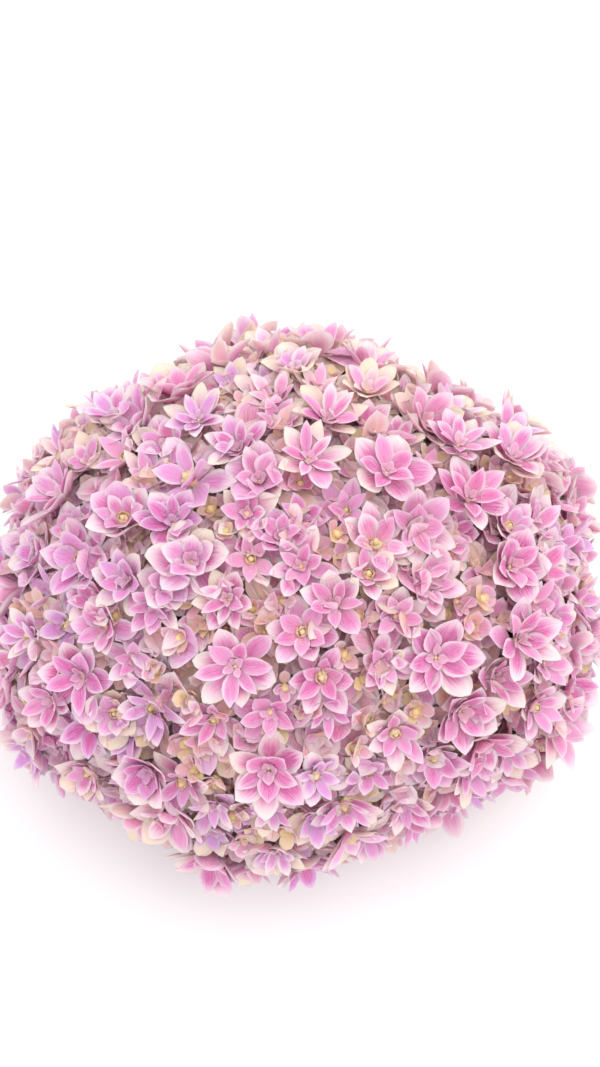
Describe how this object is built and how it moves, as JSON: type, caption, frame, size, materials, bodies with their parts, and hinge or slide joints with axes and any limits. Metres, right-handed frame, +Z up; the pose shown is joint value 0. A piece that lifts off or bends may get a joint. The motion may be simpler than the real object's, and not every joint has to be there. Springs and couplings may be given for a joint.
{
  "type": "hydrangea flower head",
  "caption": "Dense domed flower head of double, star-shaped mauve-pink florets with cream edges, on a short cut stalk hidden inside.",
  "frame": {"origin": "centre of the head's outline on the surface that it rests on", "axes": "+Z up through the crown of the dome, +X along the head's widest way, +Y away from the side that the picture looks from"},
  "size_m": [0.2274, 0.2168, 0.1364],
  "materials": {
    "sepal": "matte",
    "stalk": "satin"
  },
  "bodies": {
    "root": {"flower_head": "sepal", "cut_stalk": "stalk"}
  },
  "joints": []
}
